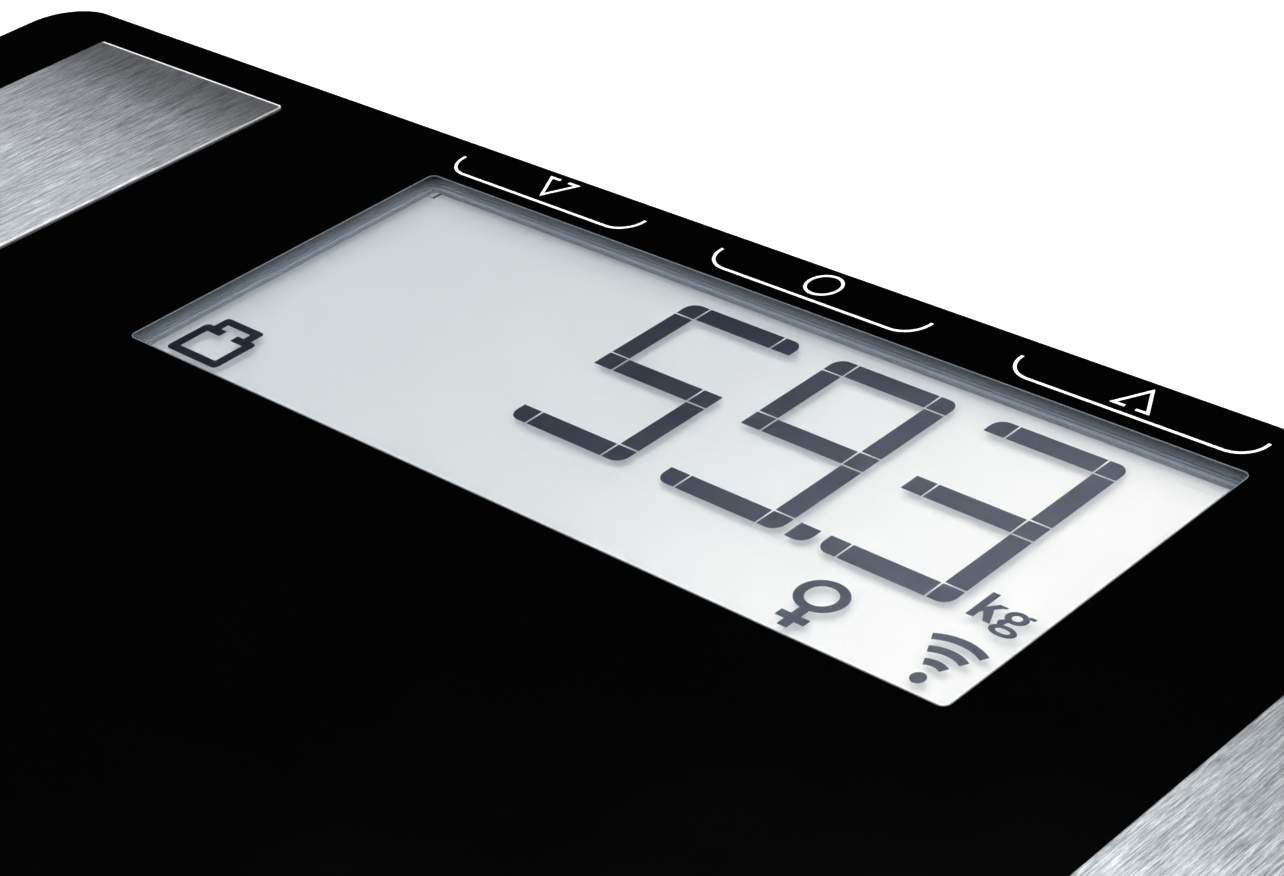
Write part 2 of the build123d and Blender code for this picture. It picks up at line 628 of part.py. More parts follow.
def tray():
    height = TRAY_TOP_Z - TRAY_FLOOR_Z
    drop = math.tan(math.radians(TRAY_TAPER))
    low_side = TRAY_SIDE - 2 * height * drop
    shell = loft([Pos(0, 0, TRAY_FLOOR_Z) * RectangleRounded(low_side, low_side, TRAY_CORNER),
                  Pos(0, 0, TRAY_TOP_Z) * RectangleRounded(TRAY_SIDE, TRAY_SIDE, TRAY_CORNER)])
    shell = fillet(shell.faces().sort_by(Axis.Z)[0].edges(), 1.5)
    inner_top = TRAY_SIDE - 2 * TRAY_WALL
    inner_low = low_side + 2 * TRAY_FLOOR * drop - 2 * TRAY_WALL
    hollow = loft([
        Pos(0, 0, TRAY_INNER_Z) * RectangleRounded(inner_low, inner_low, TRAY_CORNER - TRAY_WALL),
        Pos(0, 0, TRAY_TOP_Z) * RectangleRounded(inner_top, inner_top, TRAY_CORNER - TRAY_WALL),
    ])
    shell -= hollow
    rim_low = TRAY_TOP_Z - RIM_THICK
    rim_outer = TRAY_SIDE - 2 * RIM_THICK * drop - 0.6
    rim_inner = TRAY_SIDE - 2 * RIM_WIDTH
    rim = slab(rim_outer, rim_outer, rim_low, TRAY_TOP_Z, corner=TRAY_CORNER)
    rim -= slab(rim_inner, rim_inner, rim_low, TRAY_TOP_Z, corner=2.0)
    rim -= box_between((-68, 130, rim_low), (82, TRAY_SIDE / 2 - TRAY_WALL, TRAY_TOP_Z))
    shell += rim
    for _, side, end in CORNERS:
        x = side * FOOT_OFFSET
        y = end * FOOT_OFFSET
        shell += socket_of_foot(x, y, side)
        shell -= disc(FOOT_HOLE, TRAY_FLOOR_Z - 1, TRAY_INNER_Z, x, y)
    bay, cuts = battery_bay()
    shell += bay
    for cut in cuts:
        shell -= cut
    finger = Pos(0, DOOR_REAR_Y + 1.0, TRAY_FLOOR_Z - 4.2) * Sphere(6.4)
    shell -= finger & box_between((-8, DOOR_REAR_Y, 0), (8, DOOR_REAR_Y + 3.6, 5.6))
    shell -= disc(BUTTON_HOLE, TRAY_FLOOR_Z - 1, TRAY_INNER_Z + 0.01, BUTTON_X, BUTTON_Y)
    shell += tube(9.6, 8.2, TRAY_INNER_Z, 9.0, BUTTON_X, BUTTON_Y)
    return shell


def glass_tape():
    """The double-sided tape between the tray's rim, the foot caps and the glass."""
    rim = slab(TRAY_SIDE - 0.8, TRAY_SIDE - 0.8, TRAY_TOP_Z, GLASS_UNDER, corner=TRAY_CORNER)
    rim -= slab(TRAY_SIDE - 2 * RIM_WIDTH + 1.0, TRAY_SIDE - 2 * RIM_WIDTH + 1.0,
                TRAY_TOP_Z, GLASS_UNDER, corner=2.0)
    rim -= box_between((-68, 130, TRAY_TOP_Z), (82, TRAY_SIDE / 2 - TRAY_WALL + 0.1, GLASS_UNDER))
    rings = [tube(23.5, 20.5, TRAY_TOP_Z, GLASS_UNDER, side * FOOT_OFFSET, end * FOOT_OFFSET)
             for _, side, end in CORNERS]
    return [rim] + rings


def info_label():
    return slab(62, 34, TRAY_FLOOR_Z - 0.1, TRAY_FLOOR_Z, 0, -62, 2.0)


# ------------------------------------------------------------------ feet and load cells
def foot_carrier(x, y):
    """The foot: a ribbed cup with four lugs and a button that carries the load cell's tongue."""
    low = 1.4
    top = 7.6
    body = disc(FOOT_RADIUS, low, top)
    body = chamfer(body.edges().sort_by(Axis.Z)[0], 0.7)
    body -= tube(20.0, 7.0, low + 2.2, top)
    for k in range(4):
        rib = box_between((6.5, -0.9, low + 1.0), (20.5, 0.9, top))
        body += Rot(0, 0, 45 + 90 * k) * rib
        lug = box_between((20.5, -6.0, TRAY_INNER_Z + 0.1), (LUG_RADIUS, 6.0, top))
        body += Rot(0, 0, 90 * k) * (lug & disc(LUG_RADIUS, low, top))
    body -= disc(SOLE_RADIUS + 0.1, low, SOLE_THICK)
    boss = disc(5.0, top, CELL_Z - 1.5) + disc(3.0, CELL_Z - 1.5, CELL_Z)
    return Pos(x, y) * (body + boss)


def foot_sole(x, y):
    """The rubber sole, with three grooves pressed into its face."""
    sole = disc(SOLE_RADIUS, 0, SOLE_THICK)
    sole = fillet(sole.edges().sort_by(Axis.Z)[0], 0.6)
    for radius in (6.0, 11.0, 16.0):
        sole -= tube(radius + 0.6, radius - 0.6, 0, 0.6)
    return Pos(x, y) * sole


def load_cell(x, y, side):
    """A stamped steel plate: an outer frame and a tongue that the foot bends."""
    plate = slab(CELL_SIDE, CELL_SIDE, CELL_Z, CELL_TOP_Z, corner=3.0)
    slots = [
        (-10.0, 2.0, 1.6, 20.0),
        (0.0, -8.8, 21.6, 1.6),
        (10.0, 2.0, 1.6, 20.0),
        (0.0, 13.6, 13.0, 1.6),
    ]
    for slot_x, slot_y, size_x, size_y in slots:
        plate -= slab(size_x, size_y, CELL_Z, CELL_TOP_Z, slot_x, slot_y)
    return Pos(x, y) * Rot(0, 0, 90 * side) * plate


def strain_gauges():
    """A foil gauge on each load cell's tongue, with its two solder pads."""
    pieces = []
    for _, side, end in CORNERS:
        place = Pos(side * FOOT_OFFSET, end * FOOT_OFFSET) * Rot(0, 0, 90 * side)
        pieces.append(place * slab(8.0, 5.0, CELL_TOP_Z, CELL_TOP_Z + 0.15, 0, 7.5))
        for way in (-1, 1):
            pad = slab(2.2, 2.2, CELL_TOP_Z, CELL_TOP_Z + 0.4, 5.8 * way, 7.5)
            pieces.append(place * pad)
    return pieces


def load_cap(x, y):
    """The cap that shuts a foot's socket, holds the load cell down and carries the glass."""
    cap_top = SOCKET_TOP_Z + CAP_THICK
    cap = disc(SOCKET_OUTER, SOCKET_TOP_Z, cap_top)
    for end in (-1, 1):
        cap += disc(4.2, SOCKET_TOP_Z, cap_top, 0, end * CAP_SCREW_OFFSET)
        cap -= disc(1.4, SOCKET_TOP_Z, cap_top, 0, end * CAP_SCREW_OFFSET)
    cap += tube(24.0, 20.0, cap_top, TRAY_TOP_Z)
    for k in range(4):
        cap += Rot(0, 0, 45 + 90 * k) * slab(3.0, 5.0, CELL_TOP_Z, SOCKET_TOP_Z, 20.2)
    return Pos(x, y) * cap


def cap_screws():
    return [screw(side * FOOT_OFFSET, end * FOOT_OFFSET + way * CAP_SCREW_OFFSET,
                  SOCKET_TOP_Z + CAP_THICK, 2.3, 1.4, 1.03, 7.6)
            for _, side, end in CORNERS for way in (-1, 1)]


# ------------------------------------------------------------------ batteries, door, button
def cell_places():
    """Each cell's y, and which way its positive end points."""
    return [(BAY_Y + k * AAA_PITCH, 1 if k % 2 == 0 else -1) for k in (-1, 0, 1)]


def battery_cells():
    cells = []
    for y, way in cell_places():
        body = rod_x(AAA_RADIUS, 0, AAA_LENGTH - AAA_NUB, 0, 0)
        body = chamfer(body.edges(), 0.5)
        nub = rod_x(1.9, AAA_LENGTH - AAA_NUB, AAA_LENGTH, 0, 0)
        positive_face = BAY_LENGTH / 2 - CONTACT_THICK
        cell = Pos(positive_face - AAA_LENGTH, 0, 0) * (body + nub)
        turn = 0 if way > 0 else 180
        cells.append(Pos(0, y, AAA_Z) * Rot(0, 0, turn) * cell)
    return cells


def battery_springs():
    """Coil springs that press on the flat ends of the cells."""
    springs = []
    turns_height = CELL_END_GAP - 2 * SPRING_WIRE
    for y, way in cell_places():
        path = Helix(pitch=turns_height / 3.5, height=turns_height, radius=2.6)
        start = Plane(origin=path @ 0, z_dir=path % 0)
        coil = sweep(start * Circle(SPRING_WIRE), path=path, is_frenet=True)
        place = Pos(-BAY_LENGTH / 2 + CONTACT_THICK + SPRING_WIRE, 0, 0) * Rot(0, 90, 0)
        turn = 0 if way > 0 else 180
        springs.append(Pos(0, y, AAA_Z) * Rot(0, 0, turn) * place * coil)
    return springs


def battery_contacts():
    """The sprung-end and button-end plates at both ends of the bay."""
    plates = []
    for end in (-1, 1):
        x = end * (BAY_LENGTH - CONTACT_THICK) / 2
        for y, _ in cell_places():
            plates.append(slab(CONTACT_THICK, 8.6, AAA_Z - 4.2, AAA_Z + 4.4, x, y))
    return plates


def battery_door():
    """The hinged door with a rounded hinge edge and two stub pins."""
    panel = box_between((-DOOR_WIDTH / 2, DOOR_AXIS_Y, TRAY_FLOOR_Z),
                        (DOOR_WIDTH / 2, DOOR_REAR_Y, TRAY_FLOOR_Z + DOOR_THICK))
    barrel = rod_x(DOOR_BARREL, -DOOR_WIDTH / 2, DOOR_WIDTH / 2, DOOR_AXIS_Y, DOOR_AXIS_Z)
    pins = rod_x(PIN_RADIUS, -PIN_END_X, PIN_END_X, DOOR_AXIS_Y, DOOR_AXIS_Z)
    door = panel + barrel + pins
    for k in range(3):
        door -= slab(12.0, 1.0, TRAY_FLOOR_Z, TRAY_FLOOR_Z + 0.5, 0, DOOR_REAR_Y - 6.5 - 2.2 * k)
    notch_half = LATCH_WIDTH / 2 + FIT
    door -= box_between((-notch_half, DOOR_REAR_Y - 2.0, TRAY_FLOOR_Z),
                        (notch_half, DOOR_REAR_Y, GLASS_TOP))
    return door


def door_latch():
    """The door's springy catch, a folded strip whose nose holds under the tray's ledge."""
    low = TRAY_FLOOR_Z + 0.4
    outline = Polygon(
        (DOOR_REAR_Y - 2.0, low),
        (DOOR_REAR_Y - 2.0, 9.2),
        (DOOR_REAR_Y - 0.1, 9.2),
        (DOOR_REAR_Y - 0.1, 7.4),
        (DOOR_REAR_Y + 0.7, 6.9),
        (DOOR_REAR_Y + 0.7, 6.3),
        (DOOR_REAR_Y - 0.1, 6.3),
        (DOOR_REAR_Y - 0.1, low),
        (DOOR_REAR_Y - 0.9, low),
        (DOOR_REAR_Y - 0.9, 8.4),
        (DOOR_REAR_Y - 1.2, 8.4),
        (DOOR_REAR_Y - 1.2, low),
        align=None,
    )
    return Plane.YZ.offset(-LATCH_WIDTH / 2) * extrude(outline, LATCH_WIDTH, dir=(0, 0, 1))


def unit_button():
    """The push button that changes the unit of weight."""
    cap = disc(BUTTON_RADIUS, BUTTON_LOW_Z, BUTTON_FLANGE_Z)
    cap = fillet(cap.edges().sort_by(Axis.Z)[0], 0.6)
    flange = disc(7.8, BUTTON_FLANGE_Z, BUTTON_FLANGE_Z + 1.0)
    stem = disc(2.5, BUTTON_FLANGE_Z + 1.0, PLUNGER_LOW_Z)
    return Pos(BUTTON_X, BUTTON_Y) * (cap + flange + stem)


def switch_plunger():
    return disc(1.7, PLUNGER_LOW_Z, SWITCH_LOW_Z + 0.35, BUTTON_X, BUTTON_Y)


def unit_switch():
    body = slab(6.2, 6.2, SWITCH_LOW_Z, BOARD_Z, BUTTON_X, BUTTON_Y, 0.4)
    return body - disc(1.85, SWITCH_LOW_Z, SWITCH_LOW_Z + 1.0, BUTTON_X, BUTTON_Y)


# ------------------------------------------------------------------ leads and clips
def load_lead_route(name, side, end):
    """From the load cell's inner edge, out of its socket and along the tray to the board."""
    x = side * FOOT_OFFSET
    y = end * FOOT_OFFSET
    height = CELL_TOP_Z - 1.0
    route = [(x - side * CELL_SIDE / 2, y, height), (x - side * 30.0, y, height)]
    if name in SIDE_PLUGS:
        plug_x = SIDE_PLUGS[name]
        before_plug = (plug_x + side * 7.0, SIDE_PLUG_Y, LEAD_Z)
        return route + [before_plug, (plug_x, SIDE_PLUG_Y, LEAD_Z)]
    plug_x = LOAD_PLUGS[name]
    route += [(side * 62.0, -99.0, LEAD_Z), (plug_x, -76.0, LEAD_Z)]
    return route + [(plug_x, CONNECTOR_FRONT_Y, LEAD_Z)]


def core_route(name, side, end):
    """From an electrode's crimped tag down to the tray and along it to the board."""
    start_x = side * (ELECTRODE_X - BARREL_START - BARREL_LENGTH)
    y = end * STUD_Y
    plug_x = CORE_PLUGS[name]
    return [(start_x, y, BARREL_Z), (start_x - side * 8.0, y, BARREL_Z),
            (side * 80.0, y, LEAD_Z), (plug_x, y + 16.0, LEAD_Z),
            (plug_x, CONNECTOR_FRONT_Y, LEAD_Z)]


def supply_routes():
    """The two battery leads, from the bay's rear wall to the board."""
    return [[(-24.0, BAY_REAR_Y, 12.0), (-24.0, BAY_REAR_Y + 5.0, 12.0),
             (SUPPLY_PLUG_X[0], BAY_REAR_Y + 9.0, LEAD_Z),
             (SUPPLY_PLUG_X[0], CONNECTOR_FRONT_Y, LEAD_Z)],
            [(14.0, BAY_REAR_Y, 12.0), (14.0, BAY_REAR_Y + 5.0, 12.0),
             (SUPPLY_PLUG_X[1], BAY_REAR_Y + 9.0, LEAD_Z),
             (SUPPLY_PLUG_X[1], CONNECTOR_FRONT_Y, LEAD_Z)]]


def lead_clip(x, y, radius, turn=0):
    """A C-shaped clip stuck to the tray, open at the top."""
    body = box_between((-radius - 1.6, -2.5, TRAY_INNER_Z), (radius + 1.6, 2.5, LEAD_Z + radius + 0.5))
    bore = Pos(0, 0, LEAD_Z) * Rot(90, 0, 0) * Cylinder(radius + 0.05, 6)
    mouth = box_between((-radius * 0.8, -3, LEAD_Z), (radius * 0.8, 3, GLASS_TOP))
    return Pos(x, y) * Rot(0, 0, turn) * (body - bore - mouth)


def lead_clips():
    clips = []
    for name, side, end in CORNERS:
        if end < 0:
            for y in (-60.0, -10.0, 40.0):
                clips.append(lead_clip(LOAD_PLUGS[name], y, LEAD_RADIUS))
    for name in CORE_PLUGS:
        clips.append(lead_clip(CORE_PLUGS[name], 62.0 if "rear" in name else 55.0, CORE_RADIUS))
    return clips


# ------------------------------------------------------------------ write every node
write("glass_platform", platform_glass())
write("black_print", black_print())
write("key_legends", *key_prints())
write("electrode_studs", *electrode_studs())
write("electrode_bushes", *electrode_bushes())
write("electrode_terminals", *electrode_terminals())
write("electrode_nuts", *electrode_nuts())
write("display_frame", display_frame())
write("lcd_front_glass", lcd_front_glass())
write("lcd_rear_glass", lcd_rear_glass())
write("lcd_segments", *lcd_segments())
write("lcd_reflector", lcd_reflector())
write("zebra_strips", *zebra_strips())
write("main_board", main_board())
write("board_screws", *board_screws())
write("controller_chip", controller_chip())
write("radio_module", radio_module())
write("timing_crystal", timing_crystal())
write("board_passives", *board_passives())
write("board_sockets", *board_sockets())
write("touch_film", touch_film())
write("touch_pads", *touch_pads())
write("tray", tray())
write("glass_tape", *glass_tape())
write("info_label", info_label())
write("strain_gauges", *strain_gauges())
write("cap_screws", *cap_screws())
write("battery_cells", *battery_cells())
write("battery_springs", *battery_springs())
write("battery_contacts", *battery_contacts())
write("battery_door", battery_door())
write("door_latch", door_latch())
write("unit_button", unit_button())
write("switch_plunger", switch_plunger())
write("unit_switch", unit_switch())
write("lead_clips", *lead_clips())
write("supply_leads", *[lead("supply_lead", route, CORE_RADIUS) for route in supply_routes()])
write("electrode_leads", *[lead(f"electrode_lead_{name}", core_route(name, side, end), CORE_RADIUS)
                           for name, side, end in CORNERS])
write("load_leads", *[lead(f"load_lead_{name}", load_lead_route(name, side, end), LEAD_RADIUS)
                      for name, side, end in CORNERS])
for name, side, end in CORNERS:
    x = side * FOOT_OFFSET
    y = end * FOOT_OFFSET
    write(f"electrode_{name}", electrode(side, end))
    write(f"foot_carrier_{name}", foot_carrier(x, y))
    write(f"foot_sole_{name}", foot_sole(x, y))
    write(f"load_cell_{name}", load_cell(x, y, side))
    write(f"load_cap_{name}", load_cap(x, y))
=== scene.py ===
import math

import bpy
from mathutils import Matrix, Vector


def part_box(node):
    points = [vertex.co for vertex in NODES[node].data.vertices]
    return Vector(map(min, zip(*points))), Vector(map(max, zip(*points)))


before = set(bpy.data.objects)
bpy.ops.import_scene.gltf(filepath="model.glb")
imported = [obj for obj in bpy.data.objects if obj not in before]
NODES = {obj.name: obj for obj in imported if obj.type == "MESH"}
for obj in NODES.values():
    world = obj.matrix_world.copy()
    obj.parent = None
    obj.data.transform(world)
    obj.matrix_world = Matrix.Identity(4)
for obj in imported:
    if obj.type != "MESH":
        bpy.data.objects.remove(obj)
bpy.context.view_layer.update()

CORNER_NAMES = ("rear_left", "rear_right", "front_left", "front_right")
MM = 0.001

ELECTRODE_FADE = 55 * MM          # how far the painted shade at the rear end of an electrode fades forwards
ELECTRODE_SIDE_RIM = 0.06 * MM
ELECTRODE_FRONT_RIM = 0.08 * MM
ELECTRODE_REAR_RIM = 0.40 * MM
ELECTRODE_CORNER = 0.4 * MM
WINDOW_RIM = 0.26 * MM
WINDOW_CORNER = 0.8 * MM
LEVEL_TOLERANCE = 0.005 * MM

FLOOR_HALF = 4.0
WORLD_COLOUR = (0.004, 0.004, 0.0043, 1)
CAMERA_SENSOR = 36.0
CAMERA_LENS = 87.22
CAMERA_CLIP = 0.01
CAMERA_PLACE = (0.22695, -0.08841, 0.20208)
CAMERA_BEARING = 47.81            # degrees
CAMERA_RISE = 31.25
CAMERA_ROLL = -7.03


# ---------------------------------------------------------------- node material helper
class Paint:
    """One procedural material, built node by node in object coordinates."""

    def __init__(self, name):
        self.material = bpy.data.materials.new(name)
        self.material.use_nodes = True
        self.tree = self.material.node_tree
        self.tree.nodes.clear()
        self.output = self.add("ShaderNodeOutputMaterial")
        self.place = self.add("ShaderNodeTexCoord").outputs["Object"]

    def add(self, kind, **settings):
        node = self.tree.nodes.new(kind)
        for key, value in settings.items():
            setattr(node, key, value)
        return node

    def link(self, source, target):
        self.tree.links.new(source, target)

    def shader(self, kind="ShaderNodeBsdfPrincipled", **sockets):
        node = self.add(kind)
        for key, value in sockets.items():
            node.inputs[key.replace("_", " ")].default_value = value
        return node

    def stretched(self, stretch):
        mapping = self.add("ShaderNodeMapping")
        mapping.inputs["Scale"].default_value = stretch
        self.link(self.place, mapping.inputs["Vector"])
        return mapping.outputs["Vector"]

    def noise(self, grain, stretch=(1, 1, 1), detail=3.0, roughness=0.55):
        """Noise whose features are about grain metres wide."""
        node = self.add("ShaderNodeTexNoise")
        node.inputs["Scale"].default_value = 1.0 / grain
        node.inputs["Detail"].default_value = detail
        node.inputs["Roughness"].default_value = roughness
        self.link(self.stretched(stretch), node.inputs["Vector"])
        return node.outputs["Fac"]

    def along(self, axis, start, end):
        """0 at start and 1 at end along one axis, in metres."""
        split = self.add("ShaderNodeSeparateXYZ")
        self.link(self.place, split.inputs[0])
        node = self.add("ShaderNodeMapRange", interpolation_type="SMOOTHSTEP")
        node.inputs["From Min"].default_value = start
        node.inputs["From Max"].default_value = end
        self.link(split.outputs[axis], node.inputs["Value"])
        return node.outputs["Result"]

    def ramp(self, factor, stops):
        node = self.add("ShaderNodeValToRGB")
        band = node.color_ramp
        while len(band.elements) < len(stops):
            band.elements.new(0.5)
        for element, (position, colour) in zip(band.elements, stops):
            element.position = position
            element.color = (*colour, 1.0)
        self.link(factor, node.inputs["Fac"])
        return node.outputs["Color"]

    def span(self, factor, low, high):
        node = self.add("ShaderNodeMapRange")
        node.inputs["To Min"].default_value = low
        node.inputs["To Max"].default_value = high
        self.link(factor, node.inputs["Value"])
        return node.outputs["Result"]

    def mix(self, factor, first, second, blend="MIX"):
        node = self.add("ShaderNodeMix", data_type="RGBA", blend_type=blend)
        if isinstance(factor, float):
            node.inputs["Factor"].default_value = factor
        else:
            self.link(factor, node.inputs["Factor"])
        self.link(first, node.inputs[6])
        self.link(second, node.inputs[7])
        return node.outputs[2]

    def maths(self, operation, first, second):
        node = self.add("ShaderNodeMath", operation=operation)
        self.link(first, node.inputs[0])
        node.inputs[1].default_value = second
        return node.outputs[0]

    def outside(self, centre, half, corner, mirrored=False):
        """How far a point lies outside a rounded rectangle, seen from above, in metres."""
        point = self.place
        if mirrored:
            point = self.vector_maths("ABSOLUTE", point)
        offset = self.vector_maths("ABSOLUTE", self.vector_maths("SUBTRACT", point, (*centre, 0)))
        flat = self.vector_maths("MULTIPLY", offset, (1, 1, 0))
        inner = (half[0] - corner, half[1] - corner, 0)
        beyond = self.vector_maths("MAXIMUM", self.vector_maths("SUBTRACT", flat, inner), (0, 0, 0))
        length = self.vector_maths("LENGTH", beyond)
        return self.maths("SUBTRACT", length, corner)

    def vector_maths(self, operation, first, second=None):
        node = self.add("ShaderNodeVectorMath", operation=operation)
        self.link(first, node.inputs[0])
        if second is not None:
            node.inputs[1].default_value = second
        return node.outputs["Value" if operation == "LENGTH" else "Vector"]

    def bump(self, height, strength, depth):
        node = self.add("ShaderNodeBump")
        node.inputs["Strength"].default_value = strength
        node.inputs["Distance"].default_value = depth
        self.link(height, node.inputs["Height"])
        return node.outputs["Normal"]

    def finish(self, shader):
        self.link(shader.outputs[0], self.output.inputs["Surface"])
        return self.material


def shade(colour, factor):
    return tuple(channel * factor for channel in colour)


def plan(node):
    """The middle and the half size of a node's box, seen from above."""
    low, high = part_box(node)
    return [(low[i] + high[i]) / 2 for i in (0, 1)], [(high[i] - low[i]) / 2 for i in (0, 1)]


# ---------------------------------------------------------------- materials
def moulded(name, colour, roughness, grain, relief=0.15, contrast=0.25, specular=0.5):
    """Moulded plastic or rubber with a fine eroded texture and slight colour variation."""
    paint = Paint(name)
    body = paint.shader(Specular_IOR_Level=specular)
    cloud = paint.noise(grain * 40, detail=4.0)
    tone = paint.ramp(cloud, [(0.3, shade(colour, 1 - contrast)), (0.7, shade(colour, 1 + contrast))])
    paint.link(tone, body.inputs["Base Color"])
    fine = paint.noise(grain, detail=2.0)
    paint.link(paint.span(fine, roughness - 0.07, roughness + 0.07), body.inputs["Roughness"])
    paint.link(paint.bump(fine, relief, grain * 0.2), body.inputs["Normal"])
    return paint.finish(body)


def metal(name, colour, roughness, grain, stretch=(1, 1, 1)):
    """Rolled or plated metal with fine drawn marks."""
    paint = Paint(name)
    body = paint.shader(Metallic=1.0)
    marks = paint.noise(grain, stretch, detail=4.0)
    tone = paint.ramp(marks, [(0.25, shade(colour, 0.82)), (0.75, shade(colour, 1.1))])
    paint.link(tone, body.inputs["Base Color"])
    paint.link(paint.span(marks, roughness - 0.06, roughness + 0.08), body.inputs["Roughness"])
    paint.link(paint.bump(marks, 0.05, grain * 0.1), body.inputs["Normal"])
    return paint.finish(body)


def electrode_steel():
    """Stainless sheet brushed front to back: fine streaks, painted shade darkening the rear end of each
    sheet, and a painted highlight along its rims.
    """
    paint = Paint("electrode_steel")
    body = paint.shader(Anisotropic=0.5)
    fine = paint.noise(0.22 * MM, (1, 0.05, 1), detail=4.0, roughness=0.9)
    broad = paint.noise(0.9 * MM, (1, 0.03, 1), detail=3.0)
    streaks = paint.mix(0.12, fine, broad)
    light = paint.ramp(streaks, [(0.36, (0.20, 0.215, 0.235)), (0.50, (0.50, 0.53, 0.56)),
                                 (0.64, (0.90, 0.93, 0.96))])
    (x, y), (half_x, half_y) = plan("electrode_rear_right")
    rear = y + half_y
    # painted shade: the sheet's colour darkens towards its rear end
    painted_rear_shade = paint.ramp(paint.along("Y", rear - ELECTRODE_FADE, rear - 1 * MM),
                      [(0.0, (0.82, 0.82, 0.82)), (0.45, (0.85, 0.85, 0.85)), (0.9, (0.50, 0.50, 0.505)),
                       (1.0, (0.23, 0.225, 0.23))])
    centre = (x, y - (ELECTRODE_REAR_RIM - ELECTRODE_FRONT_RIM) / 2)
    half = (half_x - ELECTRODE_SIDE_RIM, half_y - (ELECTRODE_REAR_RIM + ELECTRODE_FRONT_RIM) / 2)
    distance = paint.outside(centre, half, ELECTRODE_CORNER, mirrored=True)
    # painted highlight: a thin band round each sheet's rim is lighter and less metallic, so it looks lit
    # from any side
    rim = paint.maths("GREATER_THAN", distance, 0.0)
    painted_rim_highlight = paint.ramp(fine, [(0.3, (0.60, 0.61, 0.62)), (0.7, (0.74, 0.75, 0.76))])
    sheet = paint.mix(1.0, light, painted_rear_shade, "MULTIPLY")
    paint.link(paint.mix(rim, sheet, painted_rim_highlight), body.inputs["Base Color"])
    paint.link(paint.span(rim, 1.0, 0.35), body.inputs["Metallic"])
    paint.link(paint.span(fine, 0.3, 0.46), body.inputs["Roughness"])
    tangent = paint.add("ShaderNodeTangent", direction_type="RADIAL", axis="Y")
    paint.link(tangent.outputs[0], body.inputs["Tangent"])
    paint.link(paint.bump(fine, 0.15, 0.02 * MM), body.inputs["Normal"])
    return paint.finish(body)


def clear_glass(name, tint):
    """Clear glass that lets the lamps light what lies under it."""
    paint = Paint(name)
    body = paint.shader(Transmission_Weight=1.0, IOR=1.5)
    wave = paint.noise(30 * MM, detail=1.0)
    paint.link(paint.ramp(wave, [(0.3, shade(tint, 0.99)), (0.7, tint)]), body.inputs["Base Color"])
    paint.link(paint.span(wave, 0.0, 0.01), body.inputs["Roughness"])
    through = paint.shader("ShaderNodeBsdfTransparent", Color=(*tint, 1.0))
    path = paint.add("ShaderNodeLightPath")
    blend = paint.add("ShaderNodeMixShader")
    paint.link(path.outputs["Is Shadow Ray"], blend.inputs[0])
    paint.link(body.outputs[0], blend.inputs[1])
    paint.link(through.outputs[0], blend.inputs[2])
    return paint.finish(blend)


def lcd_cell_glass():
    """The thin glasses of the display, seen through without bending."""
    paint = Paint("lcd_cell_glass")
    body = paint.shader(Roughness=0.05, Alpha=0.01)
    haze = paint.noise(8 * MM)
    paint.link(paint.ramp(haze, [(0.0, (0.03, 0.034, 0.04)), (1.0, (0.05, 0.055, 0.06))]),
               body.inputs["Base Color"])
    return paint.finish(body)


def gloss_print():
    """Black ceramic print with a deep gloss, and a fine painted highlight round the edge of its window.
    """
    paint = Paint("black_print")
    body = paint.shader(Specular_IOR_Level=0.3)
    specks = paint.noise(0.6 * MM, detail=2.0)
    black = paint.ramp(specks, [(0.3, (0.0002, 0.0002, 0.0002)), (0.8, (0.0005, 0.0004, 0.0005))])
    painted_window_highlight = paint.ramp(specks, [(0.3, (0.10, 0.11, 0.12)), (0.8, (0.15, 0.16, 0.17))])
    distance = paint.outside(*plan("lcd_front_glass"), WINDOW_CORNER)
    # painted highlight: a thin band round the window is lighter than the black print
    rim = paint.maths("LESS_THAN", distance, WINDOW_RIM)
    paint.link(paint.mix(rim, black, painted_window_highlight), body.inputs["Base Color"])
    paint.link(paint.span(paint.noise(18 * MM), 0.05, 0.09), body.inputs["Roughness"])
    return paint.finish(body)


def white_print():
    paint = Paint("white_print")
    body = paint.shader(Specular_IOR_Level=0.3)
    ink = paint.noise(0.25 * MM, detail=2.0)
    paint.link(paint.ramp(ink, [(0.3, (0.80, 0.80, 0.81)), (0.7, (0.95, 0.95, 0.95))]),
               body.inputs["Base Color"])
    paint.link(paint.span(ink, 0.35, 0.5), body.inputs["Roughness"])
    return paint.finish(body)


def lcd_ground(low, high):
    """The display's ground with a painted glow that lifts its shadows: cool grey on the left, white on
    the right as a painted glare.
    """
    paint = Paint("lcd_reflector")
    body = paint.shader(Specular_IOR_Level=0.2, Emission_Strength=1.0)
    place = paint.along("X", low[0], high[0])
    # painted glare: the ground's colour brightens from left to right
    painted_glare = paint.ramp(place, [(0.0, (0.345, 0.350, 0.350)), (0.5, (0.385, 0.385, 0.380)),
                                (1.0, (0.520, 0.500, 0.475))])
    # painted glow: the ground emits light of its own, which fills the segment shadows and the dark strip
    # under the frame's lip
    glow = paint.ramp(place, [(0.0, (0.405, 0.450, 0.480)), (0.5, (0.440, 0.475, 0.505)),
                              (1.0, (0.585, 0.605, 0.625))])
    film = paint.noise(0.5 * MM, detail=3.0)
    mottle = paint.ramp(film, [(0.25, (0.93, 0.93, 0.93)), (0.75, (1.0, 1.0, 1.0))])
    paint.link(paint.mix(1.0, painted_glare, mottle, "MULTIPLY"), body.inputs["Base Color"])
    paint.link(paint.mix(1.0, glow, mottle, "MULTIPLY"), body.inputs["Emission Color"])
    paint.link(paint.span(film, 0.5, 0.62), body.inputs["Roughness"])
    return paint.finish(body)


